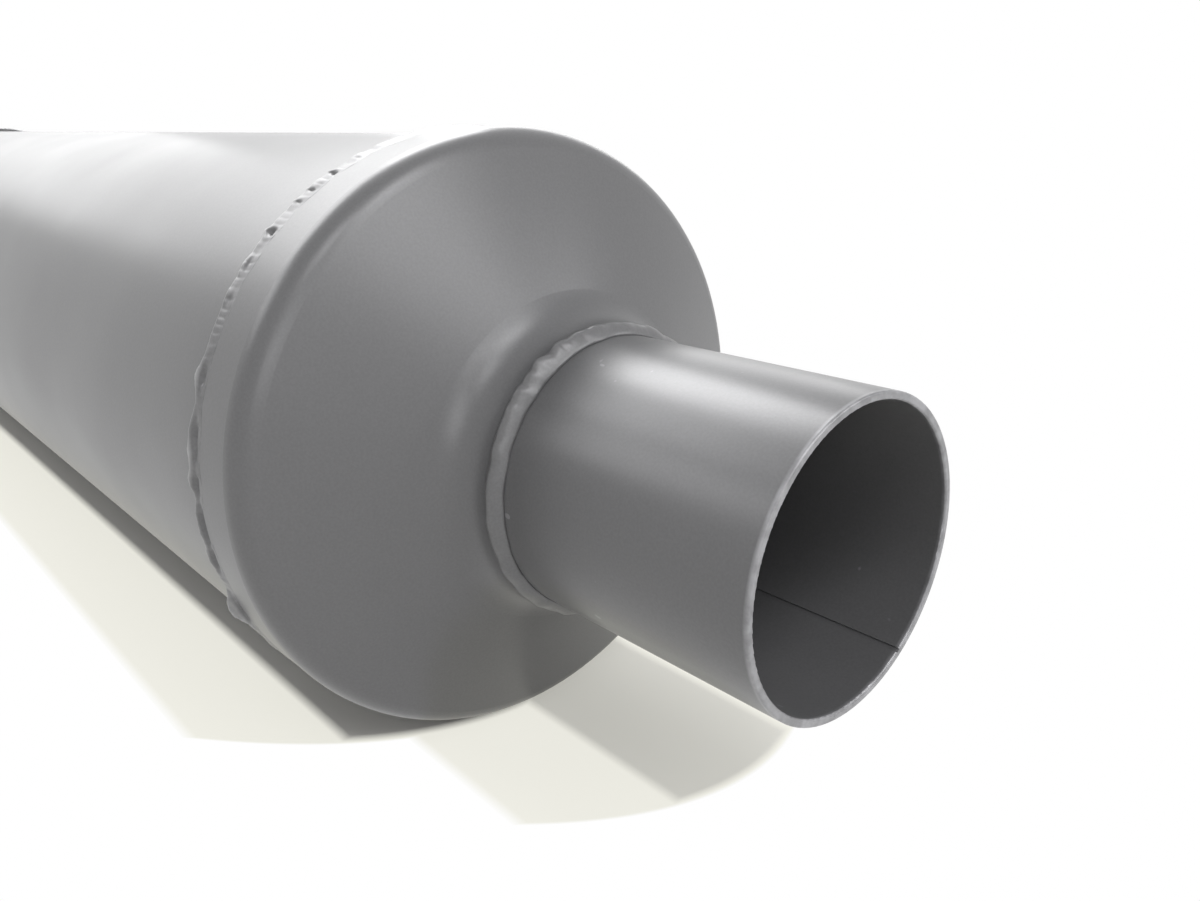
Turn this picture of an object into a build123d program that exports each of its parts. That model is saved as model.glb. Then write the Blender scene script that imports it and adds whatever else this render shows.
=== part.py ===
from build123d import *
import math
import os

os.makedirs("parts", exist_ok=True)

# Driving sizes in millimetres. X runs with the gas, from the inlet rim at 0 to the outlet rim.
# Z is up. Every piece is round about the X axis unless its function says otherwise.

# Necks: longitudinally welded steel tube
neck_outer_radius = 38.1
neck_wall = 2.0
neck_reach = 82.0  # from the rim to the edge of the head's collar
neck_run_in = 88.0  # from the collar's edge to the neck's hidden end
rim_edge_round = 0.5
neck_seam_width = 1.2
neck_seam_depth = 0.4
neck_seam_angle = 305.0  # about +X, from +Y towards +Z

# Shell: sheet rolled to a cylinder and welded along one line
shell_outer_radius = 88.3
shell_wall = 1.5
shell_length = 610.0
shell_seam_gap = 1.0
shell_seam_angle = 325.0
seam_bead_width = 6.0
seam_bead_height = 1.0
seam_end_gap = 0.4

# Heads: spun from one disc, with collar, throat, cone, knuckle and skirt
head_wall = 1.5
collar_gap = 0.2  # between the neck and the collar
skirt_gap = 0.3  # between the shell and the skirt
skirt_lap = 14.0  # how far the skirt laps the shell
head_depth = 55.0  # from the collar's edge to the skirt's edge
throat_corner_depth = 11.5
throat_radius = 14.0  # of the outer surface
knuckle_corner_depth = 34.3
knuckle_radius = 9.0  # of the outer surface

# Weld beads round the collars and the skirts
neck_bead_leg = 4.5
neck_bead_lap = 0.6
neck_bead_height = 2.1
neck_bead_crest = 1.6  # from the collar's edge to the crest
neck_bead_toe_run = 0.5  # steep flank at the bead's foot
neck_bead_toe_rise = 1.2
neck_bead_bite = 0.6  # how deep the weld has fused into the neck
shell_bead_leg = 8.0
shell_bead_lap = 3.0
shell_bead_height = 1.4

# Perforated core: a tube that slips over the hidden ends of both necks
core_fit = 0.2
core_wall = 1.5
core_lap = 30.0
core_bead_leg = 3.0
core_hole_radius = 4.0
core_holes_round = 10
core_hole_pitch = 32.0
core_plain_end = 42.0  # unpierced, from the core's end to its first ring of holes

# Baffles: pressed discs, each with a hub on the core and a flange in the shell
baffle_wall = 1.5
baffle_fit = 0.3
hub_length = 8.0
flange_length = 12.0
hub_bend_radius = 3.0
flange_bend_radius = 5.0
swage_height = 4.0
swage_width = 14.0
end_baffle_inset = 10.0  # from the core's end to the end baffle's disc
tack_radius = 3.0
tacks_per_baffle = 3

# Sound absorbing fill
wool_thickness = 5.0
fill_fit = 0.3

# Places that follow from the sizes above, on the inlet half
collar_edge_x = neck_reach
skirt_edge_x = neck_reach + head_depth
shell_start_x = skirt_edge_x - skirt_lap
middle_x = shell_start_x + shell_length / 2
neck_end_x = neck_reach + neck_run_in
core_start_x = neck_end_x - core_lap
end_baffle_x = core_start_x + end_baffle_inset
shell_end_x = shell_start_x + shell_length
core_end_x = 2 * middle_x - core_start_x

shell_inner_radius = shell_outer_radius - shell_wall
skirt_inner_radius = shell_outer_radius + skirt_gap
skirt_outer_radius = skirt_inner_radius + head_wall
collar_inner_radius = neck_outer_radius + collar_gap
collar_outer_radius = collar_inner_radius + head_wall
core_inner_radius = neck_outer_radius + core_fit
core_outer_radius = core_inner_radius + core_wall
wool_outer_radius = core_outer_radius + fill_fit + wool_thickness
hub_inner_radius = core_outer_radius + baffle_fit
flange_inner_radius = shell_inner_radius - baffle_fit - baffle_wall
swage_radius = (wool_outer_radius + flange_inner_radius) / 2


def ring(x_from, x_to, inner_radius, outer_radius):
    """A plain ring about the X axis."""
    corners = [
        (x_from, inner_radius),
        (x_to, inner_radius),
        (x_to, outer_radius),
        (x_from, outer_radius),
    ]
    return revolve(make_face(Polyline(*corners, close=True)), Axis.X)


def bead(corners, crown):
    """A weld bead: the corners of the step that it fills, closed by a round crown."""
    outline = Polyline(*corners) + ThreePointArc(corners[-1], crown, corners[0])
    return revolve(make_face(outline), Axis.X)


def at_outlet(piece):
    """The same piece at the outlet end, mirrored at the muffler's middle."""
    return mirror(piece, about=Plane.YZ.offset(middle_x))


def neck_weld_root():
    """Where the weld has fused into the neck, from the bead's foot to the collar's edge."""
    foot_x = collar_edge_x - neck_bead_leg
    return [
        (foot_x, neck_outer_radius),
        (foot_x + neck_bead_bite, neck_outer_radius - neck_bead_bite),
        (collar_edge_x, neck_outer_radius - neck_bead_bite),
    ]


def neck():
    """Tube open at both ends: a deburred rim, the weld's bite, and the seam's groove inside."""
    inner_radius = neck_outer_radius - neck_wall
    corners = [
        (0, inner_radius),
        (0, neck_outer_radius),
        *neck_weld_root(),
        (collar_edge_x, neck_outer_radius),
        (neck_end_x, neck_outer_radius),
        (neck_end_x, inner_radius),
    ]
    section = make_face(Polyline(*corners, close=True))
    rim_corners = section.vertices().group_by(Axis.X)[0]
    tube = revolve(fillet(rim_corners, rim_edge_round), Axis.X)
    groove = Box(
        neck_end_x,
        2 * neck_seam_depth,
        neck_seam_width,
        align=(Align.MIN, Align.CENTER, Align.CENTER),
    )
    return tube - Rot(X=neck_seam_angle) * Pos(Y=inner_radius) * groove


def head():
    """Spun sheet of even thickness, drawn along its inner surface."""
    inner_surface = FilletPolyline(
        (collar_edge_x, collar_inner_radius),
        (collar_edge_x + throat_corner_depth, collar_inner_radius),
        (collar_edge_x + knuckle_corner_depth, skirt_inner_radius),
        (skirt_edge_x, skirt_inner_radius),
        radius=[throat_radius + head_wall, knuckle_radius - head_wall],
    )
    return revolve(make_face(offset(inner_surface, head_wall, side=Side.LEFT)), Axis.X)


def neck_weld():
    """Round fillet bead between the neck and the collar's edge, steep at its foot."""
    flank_x = collar_edge_x - neck_bead_leg + neck_bead_toe_run
    step = [
        (flank_x, neck_outer_radius + neck_bead_toe_rise),
        *neck_weld_root(),
        (collar_edge_x, collar_outer_radius),
        (collar_edge_x + neck_bead_lap, collar_outer_radius),
    ]
    return bead(step, (collar_edge_x - neck_bead_crest, collar_outer_radius + neck_bead_height))


def shell_weld():
    """Raised bead that joins the skirt's edge to the shell."""
    step = [
        (skirt_edge_x + shell_bead_leg, shell_outer_radius),
        (skirt_edge_x, shell_outer_radius),
        (skirt_edge_x, skirt_outer_radius),
        (skirt_edge_x - shell_bead_lap, skirt_outer_radius),
    ]
    return bead(step, (skirt_edge_x + shell_bead_lap / 2, skirt_outer_radius + shell_bead_height))


def shell_seam_slot(x_from, x_to):
    """The space between the rolled sheet's two edges."""
    slot = Box(
        x_to - x_from,
        shell_outer_radius,
        shell_seam_gap,
        align=(Align.MIN, Align.MIN, Align.CENTER),
    )
    return Rot(X=shell_seam_angle) * Pos(x_from, shell_outer_radius / 2, 0) * slot


def shell():
    """Sheet rolled to a cylinder, with its edges a seam gap apart."""
    sheet = ring(shell_start_x, shell_end_x, shell_inner_radius, shell_outer_radius)
    return sheet - shell_seam_slot(shell_start_x, shell_end_x)


def shell_seam_weld():
    """Weld that fills the shell's seam, with a low crown between the two skirt beads."""
    sheet = ring(shell_start_x, shell_end_x, shell_inner_radius, shell_outer_radius)
    filler = sheet & shell_seam_slot(shell_start_x, shell_end_x)
    crown_start_x = skirt_edge_x + shell_bead_leg + seam_end_gap
    crown_length = 2 * (middle_x - crown_start_x)
    half_width = seam_bead_width / 2
    edge_height = math.sqrt(shell_outer_radius**2 - half_width**2)
    left = (half_width, edge_height)
    right = (-half_width, edge_height)
    outline = ThreePointArc(left, (0, shell_outer_radius), right)
    outline += ThreePointArc(right, (0, shell_outer_radius + seam_bead_height), left)
    crown = Pos(X=crown_start_x) * extrude(Plane.YZ * make_face(outline), crown_length)
    return filler + Rot(X=shell_seam_angle - 90) * crown


def perforated_core():
    """Tube with staggered rings of round holes between its plain ends."""
    tube = ring(core_start_x, core_end_x, core_inner_radius, core_outer_radius)
    pierced_length = core_end_x - core_start_x - 2 * core_plain_end
    ring_count = round(pierced_length / core_hole_pitch) + 1
    first_x = middle_x - (ring_count - 1) * core_hole_pitch / 2
    hole_step = 360 / core_holes_round
    drill = Cylinder(
        core_hole_radius,
        core_outer_radius + core_wall,
        align=(Align.CENTER, Align.CENTER, Align.MIN),
    )
    drills = []
    for row in range(ring_count):
        stagger = hole_step / 2 if row % 2 else 0
        for hole in range(core_holes_round):
            turn = Rot(X=hole * hole_step + stagger)
            drills.append(Pos(X=first_x + row * core_hole_pitch) * turn * drill)
    return tube - drills


def core_weld():
    """Bead that fixes the core's inlet end to the neck."""
    edge_radius = core_outer_radius - core_fit
    step = [
        (core_start_x - core_bead_leg, neck_outer_radius),
        (core_start_x, neck_outer_radius),
        (core_start_x, edge_radius),
    ]
    return bead(step, (core_start_x - core_bead_leg / 2, (neck_outer_radius + edge_radius) / 2 + core_fit))


def baffle(disc_x):
    """Pressed disc with a hub towards the inlet, a swaged ring and a flange in the shell."""
    half_swage = swage_width / 2
    inner_surface = FilletPolyline(
        (disc_x - hub_length, hub_inner_radius),
        (disc_x, hub_inner_radius),
        (disc_x, swage_radius - half_swage),
        (disc_x - swage_height, swage_radius - half_swage + swage_height),
        (disc_x - swage_height, swage_radius + half_swage - swage_height),
        (disc_x, swage_radius + half_swage),
        (disc_x, flange_inner_radius),
        (disc_x + flange_length, flange_inner_radius),
        radius=[
            hub_bend_radius + baffle_wall,
            baffle_wall,
            hub_bend_radius,
            hub_bend_radius,
            baffle_wall,
            flange_bend_radius,
        ],
    )
    return revolve(make_face(offset(inner_surface, baffle_wall, side=Side.LEFT)), Axis.X)


def baffle_tacks(disc_x):
    """Short weld tacks between the edge of a baffle's hub and the core."""
    hub_edge_x = disc_x - hub_length
    core_space = ring(hub_edge_x - 2 * tack_radius, disc_x, 0, core_outer_radius)
    hub_space = ring(hub_edge_x, disc_x, 0, hub_inner_radius + 2 * tack_radius)
    blob = Pos(hub_edge_x, core_outer_radius, 0) * Sphere(tack_radius) - core_space - hub_space
    turn_step = 360 / tacks_per_baffle
    return [Rot(X=tack * turn_step) * blob for tack in range(tacks_per_baffle)]


def steel_wool(x_from, x_to):
    """Sleeve of steel wool round the core, which keeps the fibres out of its holes."""
    return ring(x_from, x_to, core_outer_radius + fill_fit, wool_outer_radius)


def fibre_packing(x_from, x_to, flange_at_start, flange_at_end):
    """Wound fibre between the steel wool and the shell, cut back where a baffle's flange lies."""
    packing = ring(x_from, x_to, wool_outer_radius, shell_inner_radius - fill_fit)
    flange_clear_radius = flange_inner_radius - fill_fit
    bend_clear_radius = flange_clear_radius - flange_bend_radius
    if flange_at_start:
        packing -= ring(x_from, x_from + flange_length, flange_clear_radius, shell_outer_radius)
        packing -= ring(x_from, x_from + flange_bend_radius, bend_clear_radius, shell_outer_radius)
    if flange_at_end:
        packing -= ring(x_to - flange_length, x_to, flange_clear_radius, shell_outer_radius)
        packing -= ring(x_to - flange_bend_radius, x_to, bend_clear_radius, shell_outer_radius)
    return packing


inlet_head = head()
inlet_neck = neck()
inlet_baffle = baffle(end_baffle_x)
inlet_neck_weld = neck_weld()
inlet_shell_weld = shell_weld()
inlet_tacks = baffle_tacks(end_baffle_x)

# The fill runs from each end baffle to the centre baffle, whose hub and swage face the inlet
fill_start_x = end_baffle_x + fill_fit
front_wool_end_x = middle_x - hub_length - tack_radius - fill_fit
front_packing_end_x = middle_x - swage_height - baffle_wall - fill_fit
rear_fill_start_x = middle_x + fill_fit
fill_end_x = 2 * middle_x - fill_start_x

pieces = {
    "shell": shell(),
    "shell_seam_weld": shell_seam_weld(),
    "inlet_head": inlet_head,
    "outlet_head": at_outlet(inlet_head),
    "inlet_neck": inlet_neck,
    "outlet_neck": at_outlet(inlet_neck),
    "inlet_neck_weld": inlet_neck_weld,
    "outlet_neck_weld": at_outlet(inlet_neck_weld),
    "inlet_shell_weld": inlet_shell_weld,
    "outlet_shell_weld": at_outlet(inlet_shell_weld),
    "perforated_core": perforated_core(),
    "core_weld": core_weld(),
    "inlet_baffle": inlet_baffle,
    "centre_baffle": baffle(middle_x),
    "outlet_baffle": at_outlet(inlet_baffle),
    "inlet_baffle_tacks": Compound(inlet_tacks),
    "centre_baffle_tacks": Compound(baffle_tacks(middle_x)),
    "outlet_baffle_tacks": Compound([at_outlet(tack) for tack in inlet_tacks]),
    "front_steel_wool": steel_wool(fill_start_x, front_wool_end_x),
    "rear_steel_wool": steel_wool(rear_fill_start_x, fill_end_x),
    "front_fibre_packing": fibre_packing(fill_start_x, front_packing_end_x, True, False),
    "rear_fibre_packing": fibre_packing(rear_fill_start_x, fill_end_x, True, True),
}

for name, piece in pieces.items():
    export_step(piece, f"parts/{name}.step")
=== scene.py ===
import math

import bpy
import numpy as np
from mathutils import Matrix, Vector


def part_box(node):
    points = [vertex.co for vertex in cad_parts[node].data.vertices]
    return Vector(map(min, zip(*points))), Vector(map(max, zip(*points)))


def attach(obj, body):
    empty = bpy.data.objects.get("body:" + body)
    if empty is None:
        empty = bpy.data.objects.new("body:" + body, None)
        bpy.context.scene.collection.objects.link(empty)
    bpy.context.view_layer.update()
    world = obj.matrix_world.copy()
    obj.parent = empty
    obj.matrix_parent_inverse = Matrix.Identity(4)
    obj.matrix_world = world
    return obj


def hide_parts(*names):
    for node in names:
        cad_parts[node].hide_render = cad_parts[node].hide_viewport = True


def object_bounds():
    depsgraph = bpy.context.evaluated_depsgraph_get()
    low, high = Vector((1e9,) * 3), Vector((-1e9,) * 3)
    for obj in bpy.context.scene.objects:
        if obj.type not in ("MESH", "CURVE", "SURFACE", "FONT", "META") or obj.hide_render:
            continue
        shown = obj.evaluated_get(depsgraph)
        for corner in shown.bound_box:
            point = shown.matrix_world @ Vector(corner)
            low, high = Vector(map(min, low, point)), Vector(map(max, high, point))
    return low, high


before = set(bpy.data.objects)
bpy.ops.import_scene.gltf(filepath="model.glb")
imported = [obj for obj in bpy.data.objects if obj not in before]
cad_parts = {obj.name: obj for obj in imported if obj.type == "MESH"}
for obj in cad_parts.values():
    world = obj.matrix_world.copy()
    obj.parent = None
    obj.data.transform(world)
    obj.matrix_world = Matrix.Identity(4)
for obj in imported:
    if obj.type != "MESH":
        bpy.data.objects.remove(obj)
cad_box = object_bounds()

# Metres throughout. X runs with the gas, Z is up, and angles are about +X, from +Y towards +Z.
MM = 0.001

# Places read from the frame
rim_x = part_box("outlet_neck")[1].x
outlet_collar_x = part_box("outlet_head")[1].x
outlet_skirt_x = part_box("outlet_head")[0].x
inlet_collar_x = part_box("inlet_head")[0].x
inlet_skirt_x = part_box("inlet_head")[1].x
neck_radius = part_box("outlet_neck")[1].z
shell_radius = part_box("shell")[1].z
skirt_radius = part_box("outlet_head")[1].z
core_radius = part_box("perforated_core")[1].z
middle_x = rim_x / 2
floor_z = cad_box[0].z

# Sheet and tube sizes that a box doesn't give
shell_wall = 1.5 * MM
core_wall = 1.5 * MM
collar_radius = neck_radius + 1.7 * MM
shell_seam_gap = 1.0 * MM
shell_seam_angle = 325.0

# Camera, found from the photograph's outlines
photo_width_px = 1200
focal_length_px = 963.83
sensor_width_mm = 36.0
camera_from_rim = Vector((102.69, -170.41, 89.15)) * MM
camera_azimuth = 47.54
camera_pitch = 18.39


# Curves and meshes
def gaussian(value, centre, spread):
    """Bell curve of height one."""
    return np.exp(-(((value - centre) / spread) ** 2))


def bell_sum(degrees, places):
    """Bell curves at places round a ring, each an (angle, spread, height)."""
    return sum(height * gaussian(degrees, angle, spread) for angle, spread, height in places)


def ring_waves(turn, seed, fewest, most):
    """Seamless random waves round a ring, with a spread of one."""
    random = np.random.default_rng(seed)
    counts = np.arange(fewest, most + 1)
    phases = random.uniform(0, 2 * np.pi, len(counts))
    heights = random.normal(0, 1, len(counts))
    total = 0
    for height, count, phase in zip(heights, counts, phases):
        total = total + height * np.sin(count * turn + phase)
    return total / np.std(total)


def uneven(turn, mean, spread, seed, fewest, most):
    """A measure that wavers round a ring about its mean."""
    return mean + spread * ring_waves(turn, seed, fewest, most)


def surface_waves(turn, across, seed, fewest, most, slant):
    """Random lumps on a bead: waves round the ring that also run askew across it."""
    random = np.random.default_rng(seed)
    total = np.zeros(np.broadcast(turn, across).shape)
    for count in range(fewest, most + 1):
        phase = random.uniform(0, 2 * np.pi)
        height = random.normal()
        lean = slant * random.uniform(-1, 1)
        total += height * np.sin(count * turn + lean * across + phase)
    return total / np.std(total)


def new_piece(name, corners, faces):
    """A mesh object from an array of corners and its faces, smooth, riding on the muffler's body."""
    mesh = bpy.data.meshes.new(name)
    mesh.from_pydata(corners.tolist(), [], [list(face) for face in faces])
    mesh.validate()
    mesh.shade_smooth()
    piece = bpy.data.objects.new(name, mesh)
    bpy.context.scene.collection.objects.link(piece)
    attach(piece, "root")
    return piece


def wrapped_quads(rows, columns):
    """Faces of a grid that closes on itself both ways."""
    i, j = np.meshgrid(np.arange(rows), np.arange(columns), indexing="ij")
    next_i, next_j = (i + 1) % rows, (j + 1) % columns
    corners = [(i, j), (i, next_j), (next_i, next_j), (next_i, j)]
    return np.stack([row * columns + column for row, column in corners], -1).reshape(-1, 4)


def section_area(x, radius):
    """Signed area of a closed section, to tell which way round it runs."""
    return np.sum(x * np.roll(radius, -1) - np.roll(x, -1) * radius) / 2


def ring_piece(name, x, radius, turn):
    """A closed ring about the X axis. x and radius hold one closed section for each turn."""
    y = radius * np.cos(turn)[:, None]
    z = radius * np.sin(turn)[:, None]
    corners = np.stack([x, y, z], -1).reshape(-1, 3)
    faces = wrapped_quads(*x.shape)
    if section_area(x[0], radius[0]) < 0:
        faces = faces[:, ::-1]
    return new_piece(name, corners, faces)


# Weld beads: how deep their edges sink into the sheets, and the highest that any part may stand
weld_sink = 0.15 * MM
highest_bead = cad_box[1].z - 0.02 * MM

# A groove's middle and spread across the bead, as shares of the way from the sheet's edge to the crest
groove_place = 0.38
groove_spread = 0.36

# A hollow of this depth, in millimetres, widens the bead fully
full_hollow = 1.5


def ripple(turn, across, radius, pitch, seed):
    """Crescent ripples that the moving weld pool leaves, about a pitch apart."""
    count = round(2 * np.pi * radius / pitch)
    wander = 1.1 * ring_waves(turn, seed, 3, 40)
    bow = 1.6 * (2 * across - 1) ** 2
    phase = count * turn + wander + bow
    return np.sin(phase) + 0.35 * np.sin(2 * phase + 0.8)


def weld_bead(name, node, edge_x, away, low_radius, high_radius, shape, turn, across):
    """A bead that joins the edge of an upper sheet to the lower one.

    Along the axis, a is the distance from the sheet's edge, away from its head, and
    away is 1 or -1, as that way runs along X. shape gives arrays round the ring: lap,
    leg, crest_a, crest and groove; relief over the whole bead; and toe, the power that
    makes its foot steep or soft.
    """
    lap, leg = shape["lap"][:, None], shape["leg"][:, None]
    crest_a, crest = shape["crest_a"][:, None], shape["crest"][:, None]
    a = -lap + across * (lap + leg)
    near = np.clip((a + lap) / (crest_a + lap), 0, 1)
    far = np.clip((a - crest_a) / (leg - crest_a), 0, 1)
    near_rise = (crest - high_radius) * near**2 * (3 - 2 * near)
    far_rise = (crest - low_radius) * (1 - far**2) ** shape["toe"]
    radius = np.where(a < crest_a, high_radius + near_rise, low_radius + far_rise)
    radius = radius + shape["relief"] * np.sin(np.pi * across)
    radius = radius - shape["groove"][:, None] * gaussian(a, groove_place * crest_a, groove_spread * crest_a)

    # Kept above the lower sheet and inside the square that the muffler's box allows
    widest = np.maximum(abs(np.cos(turn)), abs(np.sin(turn)))[:, None]
    radius = np.clip(radius, low_radius + weld_sink / 2, highest_bead / widest)
    radius[:, 0] = high_radius - weld_sink
    radius[:, -1] = low_radius - weld_sink

    # Three corners inside the sheets close each section
    base_leg = 0.5 * leg[:, 0]
    base_lap = np.full(len(turn), -weld_sink)
    base_a = np.stack([base_leg, base_lap, base_lap], 1)
    base_radius = np.array([low_radius - weld_sink, low_radius - weld_sink, high_radius - 2 * weld_sink])
    a = np.concatenate([a, base_a], 1)
    radius = np.concatenate([radius, np.tile(base_radius, (len(turn), 1))], 1)
    piece = ring_piece(name, edge_x + away * a, radius, turn)
    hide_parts(node)
    return piece


def shell_weld(name, node, edge_x, away, seed, hollows, lobes):
    """Bead between a skirt's edge and the shell: flush with the skirt, steep towards the shell."""
    steps_round, steps_across = 1800, 30
    ripple_pitch, ripple_height, lump_height = 2.6 * MM, 0.05, 0.1
    turn = np.linspace(0, 2 * np.pi, steps_round, endpoint=False)
    across = np.linspace(0, 1, steps_across)
    groove = bell_sum(np.degrees(turn), hollows)
    lobe = bell_sum(np.degrees(turn), lobes)
    widening = np.clip(groove / full_hollow, 0, 1)
    relief = ripple_height * ripple(turn[:, None], across, shell_radius, ripple_pitch, seed)
    relief = relief + lump_height * surface_waves(turn[:, None], across, seed + 1, 20, 90, 4)
    rise = uneven(turn, 0.45, 0.15, seed + 2, 4, 60) + 0.5 * widening + lobe
    lap = uneven(turn, 1.6, 0.25, seed + 3, 5, 50)
    leg = uneven(turn, 5.4, 0.3, seed + 4, 5, 60) + 0.6 * widening + lobe
    crest_a = uneven(turn, 2.9, 0.15, seed + 5, 5, 50) + 1.2 * widening + 0.6 * lobe
    shape = {
        "lap": MM * lap,
        "leg": MM * leg,
        "crest_a": MM * crest_a,
        "crest": skirt_radius + MM * rise,
        "groove": MM * groove,
        "relief": MM * relief,
        "toe": 0.65,
    }
    return weld_bead(name, node, edge_x, away, shell_radius, skirt_radius, shape, turn, across)


def neck_weld(name, node, edge_x, away, seed, rough_places):
    """Round fillet bead between a collar's edge and the neck, lumpy in places."""
    steps_round, steps_across = 840, 26
    ripple_pitch, ripple_height, lump_height = 3.2 * MM, 0.05, 0.2
    least_rough, shortest_leg = 0.3, 4.8
    turn = np.linspace(0, 2 * np.pi, steps_round, endpoint=False)
    across = np.linspace(0, 1, steps_across)
    rough = least_rough + bell_sum(np.degrees(turn), rough_places)
    relief = ripple_height * ripple(turn[:, None], across, neck_radius, ripple_pitch, seed)
    relief = relief + lump_height * surface_waves(turn[:, None], across, seed + 1, 12, 60, 4)
    rise = uneven(turn, 2.8, 0.12, seed + 2, 2, 30) + 0.8 * rough
    lap = uneven(turn, 0.7, 0.12, seed + 3, 3, 40) + 0.4 * rough
    leg = np.clip(uneven(turn, 5.0, 0.12, seed + 4, 3, 40), shortest_leg, None)
    crest_a = uneven(turn, 1.3, 0.1, seed + 5, 3, 30)
    shape = {
        "lap": MM * lap,
        "leg": MM * leg,
        "crest_a": MM * crest_a,
        "crest": neck_radius + MM * rise,
        "groove": np.zeros(steps_round),
        "relief": MM * relief * rough[:, None],
        "toe": 0.8,
    }
    return weld_bead(name, node, edge_x, away, neck_radius, collar_radius, shape, turn, across)


# Hollows are (angle, spread, depth) and lobes (angle, spread, height), in degrees and millimetres
seen_hollows = [
    (119.5, 0.4, 0.9),
    (124.5, 0.4, 0.7),
    (127.5, 0.3, 0.6),
    (134.3, 0.7, 1.4),
    (140.5, 1.4, 0.4),
    (147.5, 1.2, 0.35),
    (160.5, 1.6, 1.2),
    (171.0, 2.8, 1.9),
    (178.2, 1.6, 1.9),
    (185.5, 2.9, 2.2),
    (192.0, 1.7, 1.9),
    (203.3, 2.4, 2.3),
    (246, 3.0, 1.4),
    (291, 2.4, 1.6),
    (338, 2.8, 1.2),
    (26, 2.2, 1.4),
    (71, 3.0, 1.2),
]
far_hollows = [
    (15, 2.8, 1.4),
    (62, 2.2, 1.0),
    (97, 3.2, 1.6),
    (139, 2.0, 1.0),
    (188, 3.4, 1.8),
    (232, 2.4, 1.2),
    (283, 3.0, 1.6),
    (341, 2.2, 1.0),
]
seen_drip = (203.8, 3.0, 1.5)
far_drip = (128, 3.5, 0.8)
floor_lump = (270, 6.0, 1.2)

# Rough places are (angle, spread, roughness)
seen_rough_places = [(125, 24, 1.0), (20, 30, 1.0), (290, 25, 1.0)]
far_rough_places = [(60, 30, 1.0), (170, 25, 1.0), (255, 20, 1.0)]

beads = [
    shell_weld(
        "outlet_shell_bead",
        "outlet_shell_weld",
        outlet_skirt_x,
        away=-1,
        seed=11,
        hollows=seen_hollows,
        lobes=[seen_drip, floor_lump],
    ),
    shell_weld(
        "inlet_shell_bead",
        "inlet_shell_weld",
        inlet_skirt_x,
        away=1,
        seed=41,
        hollows=far_hollows,
        lobes=[far_drip, floor_lump],
    ),
    neck_weld(
        "outlet_neck_bead",
        "outlet_neck_weld",
        outlet_collar_x,
        away=1,
        seed=71,
        rough_places=seen_rough_places,
    ),
    neck_weld(
        "inlet_neck_bead",
        "inlet_neck_weld",
        inlet_collar_x,
        away=-1,
        seed=91,
        rough_places=far_rough_places,
    ),
]


def seam_bead():
    """Low rippled bead along the shell's seam, tucked under the two round beads."""
    steps_along, steps_across = 900, 16
    seed = 131
    tuck = 2.5 * MM
    ripple_pitch, ripple_height = 2.1 * MM, 0.07 * MM
    x = np.linspace(inlet_skirt_x + tuck, outlet_skirt_x - tuck, steps_along)
    run = np.linspace(0, 2 * np.pi, steps_along)
    across = np.linspace(0, 1, steps_across)
    side = 2 * across - 1
    half_width = MM * uneven(run, 2.9, 0.15, seed, 10, 90)
    height = MM * uneven(run, 0.7, 0.08, seed + 1, 10, 90)
    phase = 2 * np.pi * (x - x[0]) / ripple_pitch + ring_waves(run, seed + 2, 5, 60)
    crescents = ripple_height * np.sin(phase[:, None] + 1.8 * side**2)
    sideways = half_width[:, None] * side
    dome = height[:, None] * (1 - side**2) ** 0.7
    rise = shell_radius + dome + crescents * np.sin(np.pi * across) ** 0.5
    rise[:, [0, -1]] = shell_radius - weld_sink

    # The filler in the seam's gap, down to the shell's inner face
    half_gap = shell_seam_gap / 2
    filler_sideways = np.array([half_gap, half_gap, -half_gap, -half_gap])
    filler_rise = shell_radius - np.array([weld_sink, shell_wall, shell_wall, weld_sink])
    sideways = np.concatenate([sideways, np.tile(filler_sideways, (steps_along, 1))], 1)
    rise = np.concatenate([rise, np.tile(filler_rise, (steps_along, 1))], 1)

    columns = sideways.shape[1]
    angle = math.radians(shell_seam_angle) + sideways / shell_radius
    corners = np.stack([np.repeat(x[:, None], columns, 1), rise * np.cos(angle), rise * np.sin(angle)], -1)
    sides = wrapped_quads(steps_along, columns).reshape(steps_along, columns, 4)[:-1].reshape(-1, 4)
    first_end = list(range(columns))[::-1]
    last_end = list(range((steps_along - 1) * columns, steps_along * columns))
    faces = [*sides.tolist(), first_end, last_end]
    piece = new_piece("shell_seam_bead", corners.reshape(-1, 3), faces)
    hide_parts("shell_seam_weld")
    return piece


beads.append(seam_bead())


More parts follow.
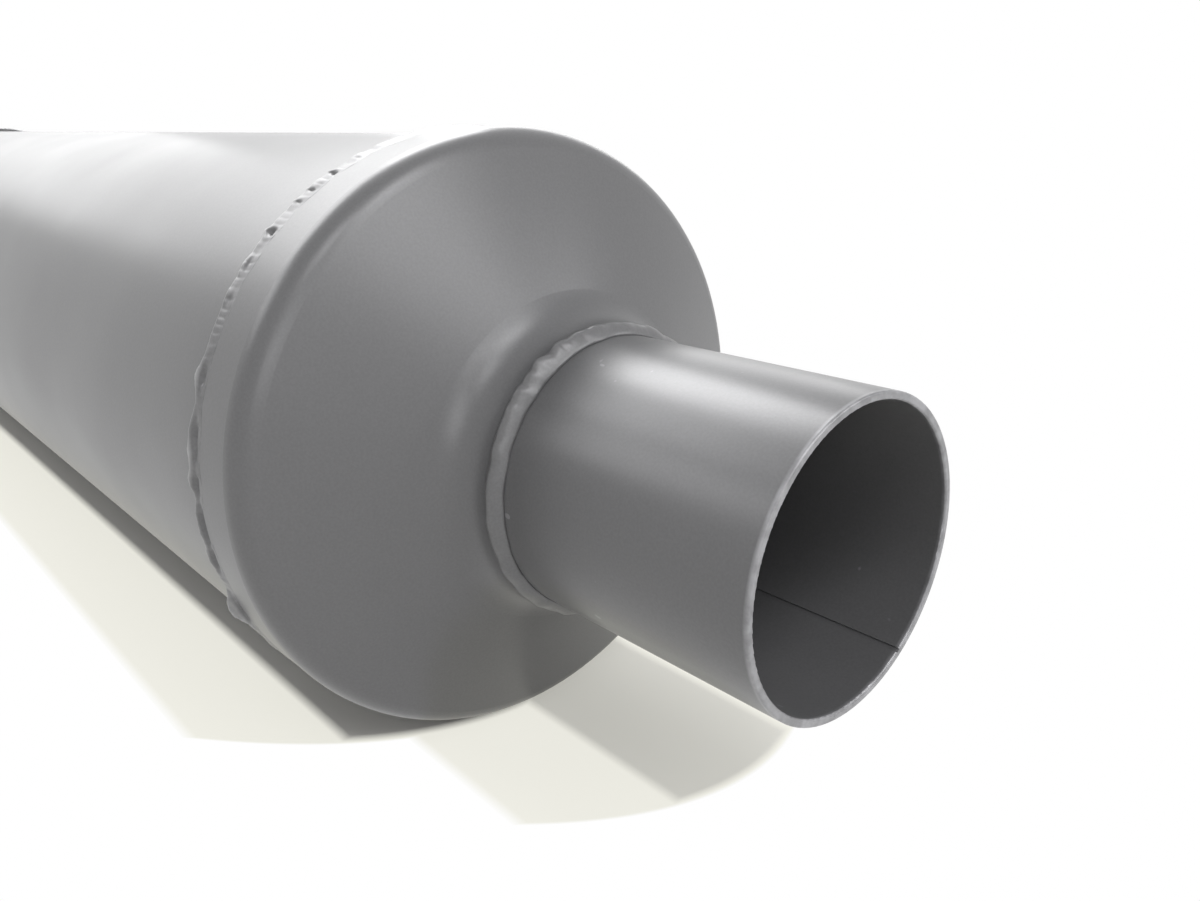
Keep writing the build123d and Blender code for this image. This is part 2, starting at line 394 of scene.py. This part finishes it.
def perforated_core():
    """The core with its fine staggered perforation.

    Each hole sits in a cell of eight corners that it shares with the cells round it. Corners lie
    on levels along the tube: level 0 and the last are its rims, and between them the rows' edges
    and middles take turns. Round the tube they lie half a pitch apart.
    """
    lowest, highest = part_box("perforated_core")
    holes_round = 40
    hole_radius = 2.0 * MM
    plain_end = 42.0 * MM
    half_pitch = math.pi / holes_round
    row_height = 2 * half_pitch * core_radius * math.sin(math.radians(60))
    first_x, last_x = lowest.x + plain_end, highest.x - plain_end
    rows = round((last_x - first_x) / row_height)
    level_x = [lowest.x, *np.linspace(first_x, last_x, 2 * rows + 1), highest.x]
    columns = 2 * holes_round
    round_cell = [(0, 1), (1, 1), (1, 0), (1, -1), (0, -1), (-1, -1), (-1, 0), (-1, 1)]
    corners, faces, index_of = [], [], {}

    def new_corner(x, angle, radius):
        corners.append((x, radius * math.cos(angle), radius * math.sin(angle)))
        return len(corners) - 1

    def shared_corner(level, column, radius):
        key = (level, column % columns, radius)
        if key not in index_of:
            index_of[key] = new_corner(level_x[level], column % columns * half_pitch, radius)
        return index_of[key]

    def level_ring(level, radius):
        return [shared_corner(level, column, radius) for column in range(columns)]

    def cell_ring(level, column, radius):
        return [shared_corner(level + up, column + along, radius) for up, along in round_cell]

    def hole_ring(level, column, radius):
        ring = []
        for clock in np.arange(8) * math.pi / 4:
            x = level_x[level] + hole_radius * math.sin(clock)
            angle = column * half_pitch + hole_radius * math.cos(clock) / core_radius
            ring.append(new_corner(x, angle, radius))
        return ring

    def join(first, second):
        """Quads between two rings of corners."""
        for this in range(len(first)):
            following = (this + 1) % len(first)
            faces.append((first[this], first[following], second[following], second[this]))

    inner_radius = core_radius - core_wall
    for row in range(rows):
        level = 2 * row + 2
        for column in range(row % 2, columns, 2):
            outer_hole = hole_ring(level, column, core_radius)
            inner_hole = hole_ring(level, column, inner_radius)
            join(cell_ring(level, column, core_radius), outer_hole)
            join(outer_hole, inner_hole)
            join(inner_hole, cell_ring(level, column, inner_radius))

    last = len(level_x) - 1
    outer_rings = {level: level_ring(level, core_radius) for level in (0, 1, last - 1, last)}
    inner_rings = {level: level_ring(level, inner_radius) for level in (0, 1, last - 1, last)}
    for low in (0, last - 1):
        join(outer_rings[low], outer_rings[low + 1])
        join(inner_rings[low + 1], inner_rings[low])
    join(inner_rings[0], outer_rings[0])
    join(outer_rings[last], inner_rings[last])

    piece = new_piece("perforated_core_tube", np.array(corners), faces)
    piece.data.set_sharp_from_angle(angle=math.radians(40))
    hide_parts("perforated_core")
    return piece


core = perforated_core()


# Shader nodes. Their owner is a material or the world. A value is a number, a colour or an output.
def add_node(owner, kind, **settings):
    node = owner.node_tree.nodes.new(kind)
    for name, setting in settings.items():
        setattr(node, name, setting)
    return node


def feed(owner, socket, value):
    if isinstance(value, bpy.types.NodeSocket):
        owner.node_tree.links.new(value, socket)
    elif isinstance(value, tuple):
        socket.default_value = (*value, 1)
    else:
        socket.default_value = value


def place(owner):
    """Object coordinates: metres in the muffler's own frame."""
    return add_node(owner, "ShaderNodeTexCoord").outputs["Object"]


def axes(owner):
    """The place's X, Y and Z."""
    split = add_node(owner, "ShaderNodeSeparateXYZ")
    feed(owner, split.inputs[0], place(owner))
    return split.outputs


def noise(owner, coordinates, scale, detail=2.0, roughness=0.5):
    node = add_node(owner, "ShaderNodeTexNoise")
    feed(owner, node.inputs["Vector"], coordinates)
    feed(owner, node.inputs["Scale"], scale)
    feed(owner, node.inputs["Detail"], detail)
    feed(owner, node.inputs["Roughness"], roughness)
    return node.outputs["Fac"]


def remap(owner, value, from_low, from_high, to_low, to_high):
    node = add_node(owner, "ShaderNodeMapRange")
    feed(owner, node.inputs["Value"], value)
    feed(owner, node.inputs["From Min"], from_low)
    feed(owner, node.inputs["From Max"], from_high)
    feed(owner, node.inputs["To Min"], to_low)
    feed(owner, node.inputs["To Max"], to_high)
    return node.outputs["Result"]


def joined(owner, operation, first, second=0.0):
    node = add_node(owner, "ShaderNodeMath", operation=operation)
    feed(owner, node.inputs[0], first)
    feed(owner, node.inputs[1], second)
    return node.outputs[0]


def distance_from(owner, value, centre):
    return joined(owner, "ABSOLUTE", joined(owner, "SUBTRACT", value, centre))


def blend_colours(owner, factor, first, second):
    node = add_node(owner, "ShaderNodeMix", data_type="RGBA")
    feed(owner, node.inputs[0], factor)
    feed(owner, node.inputs[6], first)
    feed(owner, node.inputs[7], second)
    return node.outputs[2]


def blend_shaders(owner, factor, first, second, output):
    node = add_node(owner, "ShaderNodeMixShader")
    feed(owner, node.inputs["Fac"], factor)
    feed(owner, node.inputs[1], first.outputs[0])
    feed(owner, node.inputs[2], second.outputs[0])
    feed(owner, output.inputs["Surface"], node.outputs[0])


def bump(owner, height, distance, strength, below=None):
    node = add_node(owner, "ShaderNodeBump")
    feed(owner, node.inputs["Height"], height)
    feed(owner, node.inputs["Distance"], distance)
    feed(owner, node.inputs["Strength"], strength)
    if below:
        feed(owner, node.inputs["Normal"], below)
    return node.outputs["Normal"]


def background_rays(owner):
    """One for the camera's rays and for those that show the background in metal or glass."""
    path = add_node(owner, "ShaderNodeLightPath")
    seen = joined(owner, "MAXIMUM", path.outputs["Is Camera Ray"], path.outputs["Is Glossy Ray"])
    return joined(owner, "MAXIMUM", seen, path.outputs["Is Transmission Ray"])


# Materials. Noise scales are per metre, and most of a noise lies between 0.3 and 0.7.
# Lighter grey of the painted highlight along the weld crests
crest_highlight_grey = (0.42, 0.42, 0.43)
rim_grey = (0.4, 0.4, 0.42)
mill_grey, stain_brown = (0.42, 0.41, 0.4), (0.3, 0.28, 0.26)
wire_dark, wire_light = (0.12, 0.12, 0.12), (0.45, 0.45, 0.46)
straw_dark, straw_light = (0.55, 0.5, 0.38), (0.82, 0.79, 0.68)


def new_material(name, metallic):
    material = bpy.data.materials.new(name)
    material.use_nodes = True
    shader = material.node_tree.nodes["Principled BSDF"]
    feed(material, shader.inputs["Metallic"], metallic)
    return material, shader


def paint(name, dark, light, smoothest, roughest):
    """Semi-matt heat resistant paint: faint clouds, fine grain, dry and glossier patches."""
    grain_share, grain_contrast = 0.35, 0.08
    material, shader = new_material(name, 0.2)
    at = place(material)
    clouds = remap(material, noise(material, at, 11, 3), 0.35, 0.65, 0, 1)
    coat = blend_colours(material, clouds, dark, light)
    grain = remap(material, noise(material, at, 1500, 1), 0.3, 0.7, 0, 1)
    darkest = tuple(level * (1 - grain_contrast) for level in dark)
    lightest = tuple(level * (1 + grain_contrast) for level in light)
    speckle = blend_colours(material, grain, darkest, lightest)
    feed(material, shader.inputs["Base Color"], blend_colours(material, grain_share, coat, speckle))
    patches = remap(material, noise(material, at, 16, 2), 0.3, 0.7, smoothest, roughest)
    feed(material, shader.inputs["Roughness"], patches)
    feed(material, shader.inputs["IOR"], 1.5)
    peel = bump(material, noise(material, at, 450, 1), 0.03 * MM, 0.35)
    fine = bump(material, noise(material, at, 1800, 1), 0.01 * MM, 0.4, peel)
    feed(material, shader.inputs["Normal"], fine)
    return material


def lighten_coat(material, lightening, lighter_colour):
    """Blends a lighter colour over the coat where lightening is high, such as a painted highlight."""
    base = material.node_tree.nodes["Principled BSDF"].inputs["Base Color"]
    coat = base.links[0].from_socket
    feed(material, base, blend_colours(material, lightening, coat, lighter_colour))


def painted_crest_highlight(material):
    """Lightens the highest parts of the shell welds: a painted highlight along their crests."""
    position = axes(material)
    squares = [joined(material, "MULTIPLY", position[axis], position[axis]) for axis in "YZ"]
    radius = joined(material, "SQRT", joined(material, "ADD", *squares))
    crest = remap(material, radius, skirt_radius + 0.35 * MM, skirt_radius + 1.1 * MM, 0, 1)
    ragged = remap(material, noise(material, place(material), 160, 3), 0.3, 0.65, 0.2, 0.9)
    lighten_coat(material, joined(material, "MULTIPLY", crest, ragged), crest_highlight_grey)


def lighten_rims(material):
    """Lightens the coat along both open rims and leaves a few lighter specks."""
    from_middle = distance_from(material, axes(material)["X"], middle_x)
    rim = remap(material, from_middle, middle_x - 1.3 * MM, middle_x - 0.4 * MM, 0, 1)
    at = place(material)
    ragged = remap(material, noise(material, at, 260, 3), 0.3, 0.6, 0.35, 0.9)
    specks = remap(material, noise(material, at, 300, 0), 0.85, 0.88, 0, 0.45)
    rim_lightening = joined(material, "MULTIPLY", rim, ragged)
    lighten_coat(material, joined(material, "MAXIMUM", rim_lightening, specks), rim_grey)


def bare_steel():
    """Mill finish steel, a little stained."""
    material, shader = new_material("bare_steel", 1.0)
    at = place(material)
    stains = remap(material, noise(material, at, 30, 4), 0.35, 0.7, 0, 1)
    feed(material, shader.inputs["Base Color"], blend_colours(material, stains, mill_grey, stain_brown))
    rough = remap(material, noise(material, at, 180, 3), 0.3, 0.7, 0.28, 0.5)
    feed(material, shader.inputs["Roughness"], rough)
    mill_grain = bump(material, noise(material, at, 900, 2), 0.03 * MM, 0.4)
    feed(material, shader.inputs["Normal"], mill_grain)
    return material


def wound_strands(name, metallic, roughness, dark, light, scale, detail, squeeze, depth):
    """Matted fine strands that run round the core: squeeze draws the noise out that way."""
    material, shader = new_material(name, metallic)
    drawn_out = add_node(material, "ShaderNodeMapping")
    drawn_out.inputs["Scale"].default_value = (1, squeeze, squeeze)
    feed(material, drawn_out.inputs["Vector"], place(material))
    strands = noise(material, drawn_out.outputs["Vector"], scale, detail, 0.7)
    shade = remap(material, strands, 0.3, 0.7, 0, 1)
    feed(material, shader.inputs["Base Color"], blend_colours(material, shade, dark, light))
    feed(material, shader.inputs["Roughness"], roughness)
    feed(material, shader.inputs["Normal"], bump(material, strands, depth, 0.8))
    return material


def dress(piece, material):
    piece.data.materials.clear()
    piece.data.materials.append(material)


grey_paint = paint("grey_paint", (0.145, 0.145, 0.15), (0.163, 0.163, 0.168), 0.285, 0.34)
neck_paint = paint("grey_paint_neck", (0.148, 0.148, 0.153), (0.165, 0.165, 0.17), 0.285, 0.33)
lighten_rims(neck_paint)
weld_paint = paint("painted_weld", (0.15, 0.15, 0.155), (0.18, 0.18, 0.185), 0.29, 0.38)
# Painted highlight along the crests of the shell welds
painted_crest_highlight(weld_paint)
steel = bare_steel()
steel_wool = wound_strands(
    "steel_wool",
    metallic=1.0,
    roughness=0.45,
    dark=wire_dark,
    light=wire_light,
    scale=3000,
    detail=4,
    squeeze=0.15,
    depth=0.4 * MM,
)
fibre_packing = wound_strands(
    "fibre_packing",
    metallic=0.0,
    roughness=0.9,
    dark=straw_dark,
    light=straw_light,
    scale=1400,
    detail=5,
    squeeze=0.2,
    depth=0.6 * MM,
)

finishes = {
    grey_paint: ["shell", "inlet_head", "outlet_head"],
    neck_paint: ["inlet_neck", "outlet_neck"],
    steel: [
        "core_weld",
        "inlet_baffle",
        "centre_baffle",
        "outlet_baffle",
        "inlet_baffle_tacks",
        "centre_baffle_tacks",
        "outlet_baffle_tacks",
    ],
    steel_wool: ["front_steel_wool", "rear_steel_wool"],
    fibre_packing: ["front_fibre_packing", "rear_fibre_packing"],
}
for material, nodes in finishes.items():
    for name in nodes:
        dress(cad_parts[name], material)
for bead in beads:
    dress(bead, weld_paint)
dress(core, steel)


# Surroundings
white = (1, 1, 1)
# Tint of the painted pale half shadow on the floor
half_shadow_cream = (1, 0.99, 0.9)
card = (0.9, 0.89, 0.85)
room_light = 0.1
floor_half_width = 4.0


def studio_world():
    """World that shows white to the camera and in reflections, and lights at the room's level."""
    world = bpy.data.worlds.new("studio")
    world.use_nodes = True
    world.node_tree.nodes.clear()
    lighting = add_node(world, "ShaderNodeBackground")
    backdrop = add_node(world, "ShaderNodeBackground")
    for background, strength in ((lighting, room_light), (backdrop, 1.0)):
        feed(world, background.inputs["Color"], white)
        feed(world, background.inputs["Strength"], strength)
    output = add_node(world, "ShaderNodeOutputWorld")
    blend_shaders(world, background_rays(world), lighting, backdrop, output)
    bpy.context.scene.world = world


studio_world()

# The shadow painted on the floor as a share of white glow: how far it reaches along the muffler, and its
# soft edges. Its ends draw back by roundness times the square of the distance beside its middle line.
body_shadow_end = outlet_collar_x - middle_x - 40 * MM
neck_shadow_end = rim_x - middle_x - 50 * MM
neck_shadow_y = 25 * MM
shadow_side_edge = 4 * MM
shadow_end_edge = 6 * MM
shadow_roundness = 7.0


def shadow(material, position, end, middle_y, dark_half_width, pale_half_width, dark, pale):
    """Share of white that paints a shadow: dark middle, pale half shadow near its edge, one beyond."""
    along = distance_from(material, position["X"], middle_x)
    beside = distance_from(material, position["Y"], middle_y)
    square = joined(material, "MULTIPLY", beside, beside)
    from_end = joined(material, "ADD", along, joined(material, "MULTIPLY", square, shadow_roundness))
    past_end = remap(material, from_end, end, end + shadow_end_edge, 0, 1)
    past_dark = remap(material, beside, dark_half_width, dark_half_width + shadow_side_edge, dark, pale)
    past_pale = remap(material, beside, pale_half_width, pale_half_width + shadow_side_edge, pale, 1)
    outside = joined(material, "GREATER_THAN", beside, pale_half_width)
    beyond = joined(material, "MAXIMUM", past_end, past_dark)
    return joined(material, "MAXIMUM", beyond, joined(material, "MULTIPLY", outside, past_pale))


def floor_material():
    """Pale card: the lamps' shadow under the muffler, a painted half shadow round it, white further out."""
    material, shader = new_material("pale_floor", 0.0)
    feed(material, shader.inputs["Base Color"], card)
    feed(material, shader.inputs["Roughness"], 0.7)
    feed(material, shader.inputs["Specular IOR Level"], 0.1)
    position = axes(material)
    body = shadow(material, position, body_shadow_end, 0.0, 53 * MM, 89 * MM, dark=0.0, pale=0.74)
    neck = shadow(material, position, neck_shadow_end, neck_shadow_y, 23 * MM, 62 * MM, dark=0.36, pale=0.76)
    whiteness = joined(material, "MINIMUM", body, neck)
    cream_to_white = remap(material, whiteness, 0.75, 1, 0, 1)
    # Glow that paints the floor white beyond the shadow, and a cream half shadow at its edge
    glow = add_node(material, "ShaderNodeEmission")
    feed(material, glow.inputs["Color"], blend_colours(material, cream_to_white, half_shadow_cream, white))
    share = joined(material, "MULTIPLY", whiteness, background_rays(material))
    blend_shaders(material, share, shader, glow, material.node_tree.nodes["Material Output"])
    return material


def pale_floor():
    half = floor_half_width
    corners = [(-half, -half, floor_z), (half, -half, floor_z), (half, half, floor_z), (-half, half, floor_z)]
    mesh = bpy.data.meshes.new("floor")
    mesh.from_pydata(corners, [], [(0, 1, 2, 3)])
    mesh.materials.append(floor_material())
    floor = bpy.data.objects.new("floor", mesh)
    bpy.context.scene.collection.objects.link(floor)


pale_floor()

# Lamps
lamp_distance = 1.6
lamp_target = Vector((rim_x - 100 * MM, 0, 0))


def soft_lamp(name, azimuth, elevation, width, height, share):
    """A lamp aimed at the muffler's outlet end.

    Its azimuth is counted from +X towards +Y, and both angles are in degrees. share is its
    part of the plain light level on a surface that faces it.
    """
    turn, rise = math.radians(azimuth), math.radians(elevation)
    toward = Vector((math.cos(rise) * math.cos(turn), math.cos(rise) * math.sin(turn), math.sin(rise)))
    lamp = bpy.data.lights.new(name, "AREA")
    lamp.shape = "RECTANGLE"
    lamp.size = width
    lamp.size_y = height
    lamp.energy = share * math.pi**2 * lamp_distance**2
    holder = bpy.data.objects.new(name, lamp)
    bpy.context.scene.collection.objects.link(holder)
    holder.location = lamp_target + toward * lamp_distance
    holder.rotation_mode = "QUATERNION"
    holder.rotation_quaternion = (-toward).to_track_quat("-Z", "Y")


# Two small lamps that draw highlights, and wide panels that fill
soft_lamp("overhead_lamp", 0, 61, 0.45, 0.45, 0.13)
soft_lamp("side_lamp", 317, 53, 0.45, 0.45, 0.1)
soft_lamp("back_panel", 174, 40, 1.5, 0.8, 0.62)
soft_lamp("high_back_panel", 154, 49, 0.6, 0.45, 0.2)
soft_lamp("left_back_panel", 220, 31, 0.7, 0.5, 0.1)
soft_lamp("low_back_panel", 178, 15, 0.7, 0.2, 0.04)
soft_lamp("front_panel", 3, 42, 0.9, 0.9, 0.28)
soft_lamp("right_fill", 35, 20, 0.9, 0.5, 0.2)
soft_lamp("left_fill", 316, 20, 0.9, 0.5, 0.1)
soft_lamp("far_fill", 135, 20, 0.9, 0.5, 0.1)


# Camera
def photo_camera():
    """Looks down at the outlet end, its azimuth counted from -Y towards +X."""
    azimuth, pitch = math.radians(camera_azimuth), math.radians(camera_pitch)
    level = math.cos(pitch)
    back = Vector((level * math.sin(azimuth), -level * math.cos(azimuth), math.sin(pitch)))
    data = bpy.data.cameras.new("camera")
    data.sensor_fit = "HORIZONTAL"
    data.sensor_width = sensor_width_mm
    data.lens = sensor_width_mm * focal_length_px / photo_width_px
    data.clip_start = 10 * MM
    camera = bpy.data.objects.new("camera", data)
    bpy.context.scene.collection.objects.link(camera)
    camera.location = Vector((rim_x, 0, 0)) + camera_from_rim
    camera.rotation_mode = "QUATERNION"
    camera.rotation_quaternion = (-back).to_track_quat("-Z", "Y")
    bpy.context.scene.camera = camera


photo_camera()
bpy.context.scene.view_settings.view_transform = "Standard"
